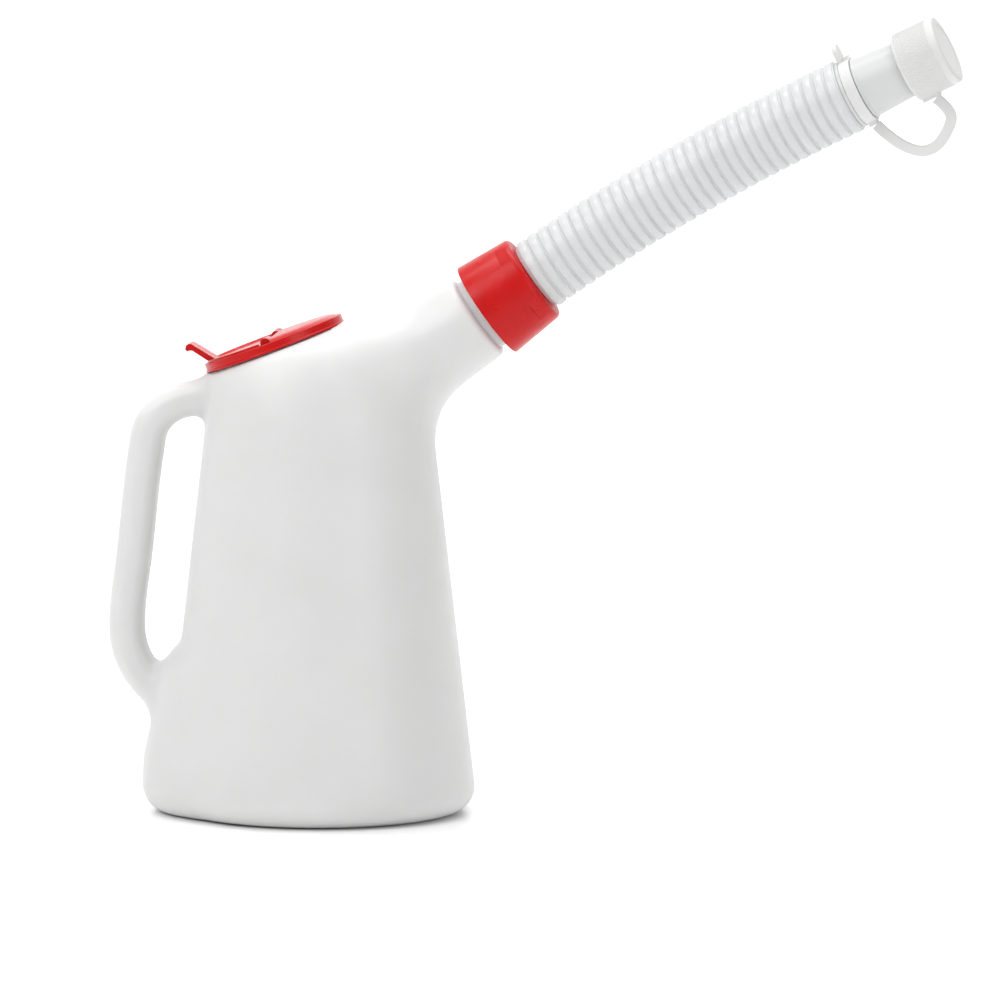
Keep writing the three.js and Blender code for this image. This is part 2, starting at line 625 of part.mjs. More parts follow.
// The loose ring of the tether, with the pull tab on top and the strap's root underneath.
function tetherRing() {
  const bore = RING_SEAT_RADIUS + RUNNING_GAP;
  const band = turned([
    [bore, ringStart], [RING_RADIUS - 0.3, ringStart], [RING_RADIUS, ringStart + 0.3],
    [RING_RADIUS, ringEnd - 0.3], [RING_RADIUS - 0.3, ringEnd], [bore, ringEnd],
  ], ROUND.tip);
  const tabShape = new THREE.Shape();
  const half = PULL_TAB_WIDTH / 2;
  tabShape.moveTo(-half, 0);
  tabShape.lineTo(-half, PULL_TAB_HEIGHT - half + 1);
  tabShape.absarc(0, PULL_TAB_HEIGHT - half + 1, half, Math.PI, 0, true);
  tabShape.lineTo(half, 0);
  const place = new THREE.Matrix4().makeTranslation(-(RING_RADIUS - 1), 0, ringStart + 0.1)
    .multiply(new THREE.Matrix4().makeRotationZ(Math.PI / 2));
  const pullTab = extruded(tabShape, PULL_TAB_THICKNESS, place);
  const middle = (ringStart + ringEnd) / 2;
  const heel = block(2.4, 7, RING_WIDTH - 0.4, -(RING_RADIUS + 0.2), 0, middle);
  const root = block(2.6, STRAP_WIDTH + 1.4, RING_WIDTH - 1.2, RING_RADIUS + 0.3, 0, middle);
  return piece('tether_ring', join(band, pullTab, heel, root), MATERIAL.cap);
}

const strapStart = RING_RADIUS + 1.6 + RUNNING_GAP;
const strapEndZ = CAP_START + CAP_BOSS_INSET + CAP_BOSS.length - 2;

// The strap's loop hangs under the tip, from the ring to the boss on the cap.
const strapPath = new THREE.CatmullRomCurve3([
  new THREE.Vector3(strapStart, 0, ringEnd - 2),
  new THREE.Vector3(strapStart + 0.3 * STRAP_DROP, 0, ringEnd + 0.8),
  new THREE.Vector3(strapStart + 0.72 * STRAP_DROP, 0, ringEnd + 6.5),
  new THREE.Vector3(strapStart + 0.97 * STRAP_DROP, 0, ringEnd + 13.5),
  new THREE.Vector3(strapStart + STRAP_DROP, 0, ringEnd + 20),
  new THREE.Vector3(strapStart + 0.87 * STRAP_DROP, 0, ringEnd + 26.5),
  new THREE.Vector3(strapStart + 0.55 * STRAP_DROP, 0, strapEndZ + 1.8),
  new THREE.Vector3(strapStart + 0.24 * STRAP_DROP, 0, strapEndZ + 1),
  new THREE.Vector3(CAP_RADIUS + CAP_BOSS.height + RUNNING_GAP + 0.2, 0, strapEndZ - 1),
]);

function capTether() {
  const section = ellipseShape(STRAP_WIDTH / 2, STRAP_THICKNESS / 2, 8);
  return piece('cap_tether', swept(strapPath, section, 24), MATERIAL.cap);
}

function spoutCap() {
  const inner = TIP_THREAD_RADIUS + TIP_THREAD.height + THREAD_GAP;
  const endInside = capEnd - CAP_END_WALL;
  const outline = [
    [0, endInside], [inner, endInside], [inner, CAP_START], [CAP_RADIUS - 0.5, CAP_START],
    [CAP_RADIUS, CAP_START + 0.6], [CAP_RADIUS, capEnd - 2.2], [CAP_RADIUS - 0.7, capEnd - 0.8],
    [CAP_RADIUS - 2.2, capEnd], [0, capEnd],
  ];
  const cup = turned(outline, ROUND.cap);
  const bossX = CAP_RADIUS + CAP_BOSS.height - 1.5;
  const bossZ = CAP_START + CAP_BOSS_INSET + CAP_BOSS.length / 2;
  const boss = block(3, CAP_BOSS.width, CAP_BOSS.length, bossX, 0, bossZ);
  const grip = { ...TIP_THREAD, turns: TIP_THREAD.turns - 0.75 };
  const inThread = thread(grip, inner, tipThreadStart + TIP_THREAD.pitch / 2, false);
  return piece('spout_cap', join(cup, boss, inThread), MATERIAL.cap);
}

function capSeal() {
  const end = sealStart + SEAL_THICKNESS;
  const radius = TIP_THREAD_RADIUS + 0.6;
  const disc = turned([[0, sealStart], [radius, sealStart], [radius, end], [0, end]], 24);
  return piece('cap_seal', disc, MATERIAL.liner);
}

// ---------- assembly ----------

jugFrame.add(jugBody());
lidFrame.add(lidRing(), lidFlap());
neckFrame.add(spoutNut(), gasket(), hoseCuff());
for (let i = 0; i < SECTIONS; i += 1) {
  hoseFrames[i].add(hoseSection(`hose_section_${String(i + 1).padStart(2, '0')}`));
}
tipFrame.add(spoutTip(), tetherRing(), capTether(), spoutCap(), capSeal());

export default jugFrame;
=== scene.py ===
import json
import math

import bmesh
import bpy
import numpy as np
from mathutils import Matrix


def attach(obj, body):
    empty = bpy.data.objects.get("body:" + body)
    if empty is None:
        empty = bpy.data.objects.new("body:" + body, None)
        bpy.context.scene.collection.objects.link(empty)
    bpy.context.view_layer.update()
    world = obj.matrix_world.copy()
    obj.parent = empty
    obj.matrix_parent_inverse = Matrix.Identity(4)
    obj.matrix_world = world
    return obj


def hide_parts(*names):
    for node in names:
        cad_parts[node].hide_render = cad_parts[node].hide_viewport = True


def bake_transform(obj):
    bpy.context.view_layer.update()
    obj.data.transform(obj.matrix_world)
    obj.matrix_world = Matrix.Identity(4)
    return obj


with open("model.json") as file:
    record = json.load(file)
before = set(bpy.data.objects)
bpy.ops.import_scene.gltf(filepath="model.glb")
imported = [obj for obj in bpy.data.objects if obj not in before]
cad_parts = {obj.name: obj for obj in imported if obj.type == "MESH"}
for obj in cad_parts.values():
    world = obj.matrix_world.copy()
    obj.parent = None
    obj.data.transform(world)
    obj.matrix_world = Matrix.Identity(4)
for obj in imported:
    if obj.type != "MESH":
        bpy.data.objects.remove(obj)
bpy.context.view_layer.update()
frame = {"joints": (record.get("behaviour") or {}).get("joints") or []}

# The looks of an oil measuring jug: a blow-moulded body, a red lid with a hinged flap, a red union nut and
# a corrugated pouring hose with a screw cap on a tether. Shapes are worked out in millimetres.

import openvdb
from mathutils import Matrix, Vector

MM = 0.001
JOINTS = {joint["name"]: joint for joint in frame["joints"]}


# ---------- frames ----------

def joint_point(name):
    return Vector(JOINTS[name]["pos_m"]) / MM


def joint_axis(name):
    return Vector(JOINTS[name]["axis"]).normalized()


def axes(origin, along, side):
    """A frame whose Z is along and whose Y is as near to side as it can be."""
    z = along.normalized()
    x = side.cross(z).normalized()
    y = z.cross(x)
    turn = Matrix((x, y, z)).transposed().to_4x4()
    return Matrix.Translation(origin) @ turn


ACROSS = Vector((0, 1, 0))
HINGE_Z = 4.9
LID_AXIS = joint_axis("lid_lift")
LID = axes(joint_point("flap_hinge") - HINGE_Z * LID_AXIS, LID_AXIS, ACROSS)
NECK_AXIS = joint_axis("nut_turn")
NECK = axes(joint_point("nut_turn") - 118 * NECK_AXIS, NECK_AXIS, ACROSS)
TIP_AXIS = joint_axis("cap_turn")
SECTIONS = 14
BENDS = [f"hose_bend_{'side' if i % 2 else 'down'}_{i // 2 + 1}" for i in range(SECTIONS + 1)]
TIP = axes(joint_point("cap_turn") - 30 * TIP_AXIS, TIP_AXIS, joint_axis(BENDS[-1]))

# ---------- sizes ----------

WALL = 2
BASE_RADIUS = 78.5
HEEL = 12
CONE_SLOPE = 0.115
SHOULDER_START = 186
MOUTH_RADIUS = 36.3
COLLAR_RADIUS = 34
NECK_END = 99.5
NECK_RADIUS = 22.6
NECK_TAPER = 0.038
NECK_PITCH = 4.0
SPIGOT_RADIUS = 19.4
SPIGOT_END = 122
RIDGE_PITCH = (joint_point(BENDS[1]) - joint_point(BENDS[0])).length / 2


# ---------- making meshes ----------

def cleaned(mesh, place=None):
    """The same mesh with doubles merged and faces pointing out, in its place."""
    work = bmesh.new()
    work.from_mesh(mesh)
    bmesh.ops.remove_doubles(work, verts=work.verts, dist=1e-4)
    bmesh.ops.recalc_face_normals(work, faces=work.faces)
    work.to_mesh(mesh)
    work.free()
    if place is not None:
        mesh.transform(place)
    return mesh


def mesh_of(name, points, faces, place=None):
    """A mesh from points in millimetres, put in its place, with its faces pointing out."""
    mesh = bpy.data.meshes.new(name)
    mesh.from_pydata([tuple(p) for p in points], [], faces)
    return cleaned(mesh, place)


def softened(outline, steps=4):
    """An outline of (radius, height, round) with its corners turned into curves, a point beside each."""
    points = []
    count = len(outline)
    for i, (r, z, soft) in enumerate(outline):
        here = Vector((r, z))
        if soft <= 0:
            points.append(here)
            continue
        before = Vector(outline[i - 1][:2]) - here
        after = Vector(outline[(i + 1) % count][:2]) - here
        reach = min(soft, 0.42 * before.length, 0.42 * after.length)
        start = here + before.normalized() * reach
        end = here + after.normalized() * reach
        points.append(start + before.normalized() * 0.1 * reach)
        for k in range(steps + 1):
            t = k / steps
            points.append((1 - t) ** 2 * start + 2 * t * (1 - t) * here + t * t * end)
        points.append(end + after.normalized() * 0.1 * reach)
    return points


def turned(name, outline, facets, place=None, steps=4):
    """A closed outline turned about Z."""
    points, faces = [], []
    outline = softened(outline, steps)
    rows = len(outline)
    for i in range(facets):
        angle = 2 * math.pi * i / facets
        for r, z in outline:
            points.append((r * math.cos(angle), r * math.sin(angle), z))
    for i in range(facets):
        a, b = i * rows, (i + 1) % facets * rows
        for j in range(rows):
            k = (j + 1) % rows
            if outline[j][0] < 1e-6 and outline[k][0] < 1e-6:
                continue
            if outline[j][0] < 1e-6:
                faces.append((a + j, b + k, a + k))
            elif outline[k][0] < 1e-6:
                faces.append((a + j, b + j, b + k))
            else:
                faces.append((a + j, b + j, b + k, a + k))
    return mesh_of(name, points, faces, place)


def block(name, low, high, place=None):
    points = [(x, y, z) for x in (low[0], high[0]) for y in (low[1], high[1]) for z in (low[2], high[2])]
    faces = [(0, 1, 3, 2), (4, 6, 7, 5), (0, 4, 5, 1), (2, 3, 7, 6), (0, 2, 6, 4), (1, 5, 7, 3)]
    return mesh_of(name, points, faces, place)


def bar(name, outline, low, high, place=None):
    """A closed outline of (x, z) points drawn out along Y."""
    count = len(outline)
    points = [(x, y, z) for y in (low, high) for x, z in outline]
    faces = [tuple(range(count)), tuple(range(2 * count - 1, count - 1, -1))]
    faces += [(i, (i + 1) % count, count + (i + 1) % count, count + i) for i in range(count)]
    return mesh_of(name, points, faces, place)


def evaluated(obj):
    """The finished mesh of an object with modifiers; the object itself goes."""
    bpy.context.view_layer.update()
    depsgraph = bpy.context.evaluated_depsgraph_get()
    mesh = bpy.data.meshes.new_from_object(obj.evaluated_get(depsgraph), depsgraph=depsgraph)
    bpy.data.objects.remove(obj)
    return mesh


def on_bench(mesh, name="bench"):
    obj = bpy.data.objects.new(name, mesh)
    bpy.context.scene.collection.objects.link(obj)
    return obj


def combined(first, others, operation="UNION"):
    """One solid from several, or the first with the others cut out of it."""
    for other in others:
        work, tool = on_bench(first), on_bench(other, "tool")
        joiner = work.modifiers.new("join", "BOOLEAN")
        joiner.object = tool
        joiner.operation = operation
        joiner.solver = "EXACT"
        first = evaluated(work)
        bpy.data.objects.remove(tool)
    return first


def edged(mesh, width, segments=2, angle=38):
    """The same solid with its sharp edges rounded."""
    work = on_bench(mesh)
    rounding = work.modifiers.new("edges", "BEVEL")
    rounding.width = width
    rounding.segments = segments
    rounding.limit_method = "ANGLE"
    rounding.angle_limit = math.radians(angle)
    rounding.harden_normals = False
    return evaluated(work)


def piece(name, mesh, material, body, replaced=(), sharp=35):
    """A finished piece: its mesh comes in millimetres, and it rides on its body unless body is None."""
    mesh.transform(Matrix.Scale(MM, 4))
    mesh.name = name
    mesh.materials.clear()
    mesh.materials.append(material)
    mesh.shade_smooth()
    mesh.set_sharp_from_angle(angle=math.radians(sharp))
    obj = bpy.data.objects.new(name, mesh)
    bpy.context.scene.collection.objects.link(obj)
    if replaced:
        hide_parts(*replaced)
    if body:
        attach(obj, body)
    return obj


# ---------- nodes ----------

class Net:
    """Adds nodes to a tree. An input is given as a value or as the socket that feeds it."""

    def __init__(self, tree):
        self.tree = tree

    def add(self, kind, inputs=None, **settings):
        node = self.tree.nodes.new(kind)
        for key, value in settings.items():
            setattr(node, key, value)
        for key, value in (inputs or {}).items():
            if isinstance(value, bpy.types.NodeSocket):
                self.tree.links.new(value, node.inputs[key])
            else:
                node.inputs[key].default_value = value
        return node

    def maths(self, operation, *values):
        return self.add("ShaderNodeMath", dict(enumerate(values)), operation=operation).outputs[0]


def plan(name, sizes):
    """A Geometry Nodes tree with named sizes; returns its net and the sockets of its inputs."""
    tree = bpy.data.node_groups.new(name, "GeometryNodeTree")
    tree.interface.new_socket("Geometry", in_out="INPUT", socket_type="NodeSocketGeometry")
    for label, value in sizes.items():
        kind = "NodeSocketInt" if isinstance(value, int) else "NodeSocketFloat"
        tree.interface.new_socket(label, in_out="INPUT", socket_type=kind).default_value = value
    tree.interface.new_socket("Geometry", in_out="OUTPUT", socket_type="NodeSocketGeometry")
    net = Net(tree)
    return net, net.add("NodeGroupInput").outputs


def finish_plan(net, geometry):
    """Ends a tree in Realize Instances and Set Material."""
    tree = net.tree
    socket = tree.interface.new_socket("Material", in_out="INPUT", socket_type="NodeSocketMaterial")
    material = net.add("NodeGroupInput").outputs[socket.name]
    real = net.add("GeometryNodeRealizeInstances", {"Geometry": geometry})
    shown = net.add("GeometryNodeSetMaterial", {"Geometry": real.outputs[0], "Material": material})
    net.add("NodeGroupOutput", {0: shown.outputs[0]})
    return tree


def grown(obj, tree, sizes, material):
    """The mesh that a tree grows on an object."""
    modifier = obj.modifiers.new("grow", "NODES")
    modifier.node_group = tree
    for item in tree.interface.items_tree:
        if item.item_type != "SOCKET" or item.in_out != "INPUT":
            continue
        if item.name in sizes:
            modifier[item.identifier] = sizes[item.name]
        elif item.name == "Material":
            modifier[item.identifier] = material
    return evaluated(obj)


def path_object(points):
    """A bare curve through points in millimetres."""
    curve = bpy.data.curves.new("path", "CURVE")
    curve.dimensions = "3D"
    spline = curve.splines.new("POLY")
    spline.points.add(len(points) - 1)
    for target, point in zip(spline.points, points):
        target.co = (*point, 1)
    obj = bpy.data.objects.new("path", curve)
    bpy.context.scene.collection.objects.link(obj)
    return obj


# ---------- camera, lights and floor ----------

CAMERA_AZIMUTH = math.radians(5.5)
CAMERA_ELEVATION = math.radians(6)
CAMERA_DISTANCE = 4.5
AIM = Vector((0.0915, 0, 0.1584))


def make_camera():
    data = bpy.data.cameras.new("camera")
    camera = bpy.data.objects.new("camera", data)
    bpy.context.scene.collection.objects.link(camera)
    flat = math.cos(CAMERA_ELEVATION)
    back = Vector((math.sin(CAMERA_AZIMUTH) * flat, -math.cos(CAMERA_AZIMUTH) * flat,
                   math.sin(CAMERA_ELEVATION)))
    camera.location = AIM + CAMERA_DISTANCE * back
    camera.rotation_mode = "QUATERNION"
    camera.rotation_quaternion = (-back).to_track_quat("-Z", "Y")
    data.sensor_width = 36
    data.lens = 18 / (0.2515 / CAMERA_DISTANCE)
    data.clip_end = 100
    bpy.context.scene.camera = camera


def area_light(name, place, aim, size, power, colour=(1, 1, 1)):
    data = bpy.data.lights.new(name, "AREA")
    data.shape = "RECTANGLE"
    data.size, data.size_y = size
    data.energy = power
    data.color = colour
    obj = bpy.data.objects.new(name, data)
    bpy.context.scene.collection.objects.link(obj)
    obj.location = place
    obj.rotation_mode = "QUATERNION"
    obj.rotation_quaternion = (Vector(aim) - Vector(place)).to_track_quat("-Z", "Y")


def make_studio():
    bpy.context.scene.view_settings.view_transform = "Standard"
    world = bpy.data.worlds.new("studio")
    bpy.context.scene.world = world
    world.use_nodes = True
    world.node_tree.nodes["Background"].inputs["Color"].default_value = (1, 1, 1, 1)
    world.node_tree.nodes["Background"].inputs["Strength"].default_value = 0.55
    area_light("key", (-1.5, -1.5, 1.8), (0.02, 0, 0.15), (1.6, 1.6), 33)
    area_light("top", (0.0, 0.1, 2.3), (0.05, 0, 0.1), (1.8, 1.8), 24)
    area_light("fill", (2.2, -2.2, 0.8), (0.05, 0, 0.15), (1.6, 1.8), 22)
    area_light("wall_wash", (0, 0.7, 3.6), (0, 3.6, 1.0), (5, 0.8), 95)

    reach, height, bend = 6.0, 6.0, 2.0
    profile = [(-reach, 0.0)]
    profile += [(1.6 + bend * math.sin(t), bend * (1 - math.cos(t))) for t in np.linspace(0, math.pi / 2, 13)]
    profile.append((1.6 + bend, height))
    points = [(x, y, z) for x in (-reach, reach) for y, z in profile]
    count = len(profile)
    faces = [(i, i + 1, count + i + 1, count + i) for i in range(count - 1)]
    mesh = bpy.data.meshes.new("floor")
    mesh.from_pydata(points, [], faces)
    mesh.shade_smooth()
    mesh.materials.append(floor_material())
    floor = on_bench(mesh, "floor")
    floor.location.z = -0.0004


# ---------- materials ----------

def material_net(name):
    material = bpy.data.materials.new(name)
    material.use_nodes = True
    material.node_tree.nodes.clear()
    return material, Net(material.node_tree)


def mottled(net, place, scale, low, high, detail=3.0, roughness=0.55):
    """A slow, cloudy mix of two colours."""
    noise = net.add("ShaderNodeTexNoise",
                    {"Vector": place, "Scale": scale, "Detail": detail, "Roughness": roughness})
    ramp = net.add("ShaderNodeValToRGB", {"Fac": noise.outputs[0]})
    ramp.color_ramp.elements[0].position, ramp.color_ramp.elements[1].position = 0.3, 0.7
    ramp.color_ramp.elements[0].color, ramp.color_ramp.elements[1].color = (*low, 1), (*high, 1)
    return ramp.outputs[0]


def between(net, value, low, high, from_low=0.3, from_high=0.7):
    return net.add("ShaderNodeMapRange", {0: value, 1: from_low, 2: from_high, 3: low, 4: high}).outputs[0]


def bumped(net, height, distance, strength=1.0, normal=None):
    inputs = {"Height": height, "Distance": distance, "Strength": strength}
    if normal is not None:
        inputs["Normal"] = normal
    return net.add("ShaderNodeBump", inputs).outputs[0]


def moulded(name, low, high, gloss, grain=900, relief=0.00003, cloud=22, settings=None, thin=0.0, seam=0.0):
    """A moulded plastic: cloudy colour, a fine grain, faint flow marks, and where asked a parting line."""
    material, net = material_net(name)
    place = net.add("ShaderNodeTexCoord").outputs["Object"]
    colour = mottled(net, place, cloud, low, high)
    fine = net.add("ShaderNodeTexNoise", {"Vector": place, "Scale": grain, "Detail": 2.0}).outputs[0]
    slow = net.add("ShaderNodeTexNoise", {"Vector": place, "Scale": 2.2 * cloud, "Detail": 4.0}).outputs[0]
    normal = bumped(net, fine, relief, 0.6)
    normal = bumped(net, slow, 6 * relief, 0.5, normal)
    if seam:
        across = net.maths("ABSOLUTE", net.add("ShaderNodeSeparateXYZ", {0: place}).outputs[1])
        ridge = net.add("ShaderNodeMapRange", {0: across, 1: seam, 2: 0.0, 3: 0.0, 4: 1.0}).outputs[0]
        normal = bumped(net, ridge, 0.00025, 0.7, normal)
    rough = between(net, slow, gloss[0], gloss[1])
    inputs = {"Base Color": colour, "Roughness": rough, "Normal": normal, **(settings or {})}
    surface = net.add("ShaderNodeBsdfPrincipled", inputs).outputs[0]
    if thin:
        glow = net.add("ShaderNodeBsdfTranslucent", {"Color": colour, "Normal": normal}).outputs[0]
        surface = net.add("ShaderNodeMixShader", {0: thin, 1: surface, 2: glow}).outputs[0]
    net.add("ShaderNodeOutputMaterial", {"Surface": surface})
    return material


def floor_material():
    material, net = material_net("floor_paper")
    place = net.add("ShaderNodeTexCoord").outputs["Object"]
    colour = mottled(net, place, 3, (0.955, 0.955, 0.955), (0.965, 0.965, 0.965))
    surface = net.add("ShaderNodeBsdfPrincipled",
                      {"Base Color": colour, "Roughness": 0.22, "Specular IOR Level": 0.3})
    net.add("ShaderNodeOutputMaterial", {"Surface": surface.outputs[0]})
    return material


MILKY = {"Subsurface Weight": 0.9, "Subsurface Radius": (1.0, 0.98, 0.95), "Subsurface Scale": 0.006,
         "Specular IOR Level": 0.4}
BODY_PLASTIC = moulded("jug_polyethylene", (0.615, 0.615, 0.61), (0.64, 0.64, 0.636), (0.34, 0.44), 700,
                       settings=MILKY, seam=0.0006)
HOSE_PLASTIC = moulded("hose_polyethylene", (0.80, 0.805, 0.81), (0.84, 0.845, 0.85), (0.14, 0.22), 800,
                       settings={"Specular IOR Level": 0.5}, thin=0.45)
TIP_PLASTIC = moulded("tip_polyethylene", (0.66, 0.665, 0.665), (0.69, 0.695, 0.695), (0.3, 0.38), 800,
                      thin=0.25)
CAP_PLASTIC = moulded("cap_plastic", (0.57, 0.57, 0.566), (0.60, 0.60, 0.596), (0.42, 0.55), 1100, 0.00004)
LID_PLASTIC = moulded("lid_red", (0.43, 0.003, 0.003), (0.47, 0.004, 0.004), (0.2, 0.28), 1000, 0.00002, 40,
                      {"Specular IOR Level": 0.22})
NUT_PLASTIC = moulded("nut_red", (0.43, 0.003, 0.003), (0.48, 0.004, 0.004), (0.26, 0.4), 260, 0.00006, 60,
                      {"Specular IOR Level": 0.22})
RUBBER = moulded("seal_rubber", (0.02, 0.02, 0.02), (0.035, 0.035, 0.035), (0.6, 0.75), 900, 0.00005)
LINER = moulded("liner_foam", (0.84, 0.84, 0.82), (0.88, 0.88, 0.86), (0.6, 0.7), 1600, 0.00008)

# ---------- jug ----------

VOXEL = 2.0
FUSE_NECK = 22
FUSE_HANDLE = 8
FUSE_FOOT = 16
FOOT_HEIGHT = 87
FOOT_REACH = 90
FOOT_DEPTH = 36
FOOT_HALF_WIDTH = 42


def cone_radius(z):
    return BASE_RADIUS - CONE_SLOPE * (z - HEEL)


def body_loft():
    """The side and shoulder: a turned side whose top leans over to the tilted mouth."""
    around = 160
    rows = []
    for i in range(around):
        angle = 2 * math.pi * i / around
        c, s = math.cos(angle), math.sin(angle)
        row = []
        for turn in np.linspace(0, math.pi / 2, 9):
            z = HEEL * (1 - math.cos(turn))
            r = cone_radius(HEEL) - HEEL * (1 - math.sin(turn))
            row.append((r * c, r * s, z))
        start_z = SHOULDER_START * (1 - 0.08 * max(0, c) ** 2) - min(0, c) * 16
        for z in np.linspace(HEEL + 6, start_z - 4, 12):
            row.append((cone_radius(z) * c, cone_radius(z) * s, z))
        start = Vector((cone_radius(start_z) * c, cone_radius(start_z) * s, start_z))
        mouth = LID @ Vector((MOUTH_RADIUS * c, MOUTH_RADIUS * s, -0.5))
        centre = LID.translation
        plane_z = centre.z + (start.x - centre.x) * math.tan(math.asin(-LID_AXIS.x)) - 6
        corner_z = max(plane_z, start_z + 8)
        corner = Vector((cone_radius(corner_z) * c, cone_radius(corner_z) * s, corner_z))
        for t in np.linspace(0, 1, 20):
            row.append(tuple((1 - t) ** 2 * start + 2 * t * (1 - t) * corner + t * t * mouth))
        rows.append(row)
    height = len(rows[0])
    points = [p for row in rows for p in row] + [(0, 0, 0), tuple(LID @ Vector((0, 0, -0.5)))]
    bottom, top = len(points) - 2, len(points) - 1
    faces = []
    for i in range(around):
        a, b = i * height, (i + 1) % around * height
        for j in range(height - 1):
            faces.append((a + j, b + j, b + j + 1, a + j + 1))
        faces.append((bottom, b, a))
        faces.append((top, a + height - 1, b + height - 1))
    return mesh_of("loft", points, faces)


def smooth_min(a, b, k):
    share = np.clip(0.5 + 0.5 * (b - a) / k, 0, 1)
    return b * (1 - share) + a * share - k * share * (1 - share)


HANDLE_POINTS = [(-46, 212), (-60, 209.5), (-75, 205), (-84.6, 195.5), (-88.2, 180), (-94, 130),
                 (-97.8, 99.5),
                 (-97.2, 84.5), (-91.5, 70.5), (-80.5, 59), (-64, 49)]


def smooth_path(points, steps):
    """A smooth curve through points, as many steps from each to the next."""
    p = np.array(points, float)
    ends = np.vstack([2 * p[0] - p[1], p, 2 * p[-1] - p[-2]])
    made = []
    for i in range(1, len(ends) - 2):
        before, a, b, after = ends[i - 1:i + 3]
        gaps = [max(np.linalg.norm(v) ** 0.5, 1e-6) for v in (a - before, b - a, after - b)]
        slope_a = ((a - before) / gaps[0] - (b - before) / (gaps[0] + gaps[1]) + (b - a) / gaps[1]) * gaps[1]
        slope_b = ((b - a) / gaps[1] - (after - a) / (gaps[1] + gaps[2]) + (after - b) / gaps[2]) * gaps[1]
        for t in np.linspace(0, 1, steps, endpoint=False):
            made.append((2 * t ** 3 - 3 * t ** 2 + 1) * a + (t ** 3 - 2 * t ** 2 + t) * slope_a
                        + (3 * t ** 2 - 2 * t ** 3) * b + (t ** 3 - t ** 2) * slope_b)
    made.append(p[-1])
    return np.array(made)


def skin_field():
    """Distance to the jug's outer skin on a grid, with its lowest corner."""
    low = np.array([-116, -90, -8])
    high = np.array([104, 90, 292])
    counts = ((high - low) / VOXEL).astype(int)
    mesh = body_loft()
    mesh.calc_loop_triangles()
    corners = np.array([v.co for v in mesh.vertices], np.float32)
    triangles = np.array([t.vertices for t in mesh.loop_triangles], np.uint32)
    lattice = openvdb.createLinearTransform(voxelSize=VOXEL)
    body = openvdb.FloatGrid.createLevelSetFromPolygons(corners, triangles=triangles, transform=lattice,
                                                        halfWidth=14.0)
    field = np.zeros(counts, np.float32)
    corner = tuple(int(v) for v in np.round(low / VOXEL))
    body.copyToArray(field, ijk=corner)

    x, y, z = [low[k] + VOXEL * np.arange(counts[k]) for k in range(3)]
    x, y, z = np.meshgrid(x, y, z, indexing="ij", sparse=True)

    heights = [0, 3.6, HEEL] + [share * FOOT_HEIGHT for share in (0.32, 0.5, 0.72, 0.86, 0.95, 1)]
    radius_at = np.interp(z, heights, [30, 38, FOOT_HALF_WIDTH, 41.2, 36.5, 33.5, 28, 18, 0])
    stretch = FOOT_HALF_WIDTH / FOOT_DEPTH
    foot = (np.hypot((x + FOOT_REACH - FOOT_DEPTH) * stretch, y) - radius_at) / stretch
    foot = np.maximum(foot, np.maximum(-z, z - FOOT_HEIGHT))
    field = smooth_min(field, foot, FUSE_FOOT)

    path = smooth_path(HANDLE_POINTS, 12)
    flat_x, flat_z = x[:, 0, :], z[:, 0, :]
    away = np.full((counts[0], counts[2]), 1e9)
    for a, b in zip(path[:-1], path[1:]):
        along = b - a
        t = np.clip(((flat_x - a[0]) * along[0] + (flat_z - a[1]) * along[1]) / (along @ along), 0, 1)
        away = np.minimum(away, np.hypot(flat_x - a[0] - t * along[0], flat_z - a[1] - t * along[1]))
    half_thick, half_wide, corner_round = 8.7, 12.5, 7.6
    out = away[:, None, :] - (half_thick - corner_round)
    side = np.abs(y) - (half_wide - corner_round)
    past_corner = np.hypot(np.maximum(out, 0), np.maximum(side, 0))
    grip = past_corner + np.minimum(np.maximum(out, side), 0) - corner_round
    field = smooth_min(field, grip, FUSE_HANDLE)

    origin = NECK.translation
    s = (x - origin.x) * NECK_AXIS.x + (z - origin.z) * NECK_AXIS.z
    away = np.sqrt((-(x - origin.x) * NECK_AXIS.z + (z - origin.z) * NECK_AXIS.x) ** 2 + y ** 2)
    neck = np.maximum(away - (NECK_RADIUS + NECK_TAPER * (NECK_END - s)), np.maximum(20 - s, s - 106))
    field = smooth_min(field, neck, FUSE_NECK)
    field = np.maximum(field, -z)

    for axis in range(3):
        field = 0.5 * field + 0.25 * (np.roll(field, 1, axis) + np.roll(field, -1, axis))
    return np.ascontiguousarray(field, dtype=np.float32), corner


def zipped(lower, upper):
    """Faces between two rings of (angle, index), both sorted by angle."""
    faces = []
    i = j = 0
    n, m = len(lower), len(upper)
    turn = 2 * math.pi
    while i < n or j < m:
        next_i = lower[(i + 1) % n][0] + (turn if i + 1 >= n else 0)
        next_j = upper[(j + 1) % m][0] + (turn if j + 1 >= m else 0)
        a, b = lower[i % n][1], upper[j % m][1]
        if j >= m or (i < n and next_i <= next_j):
            faces.append((a, lower[(i + 1) % n][1], b))
            i += 1
        else:
            faces.append((a, upper[(j + 1) % m][1], b))
            j += 1
    return faces


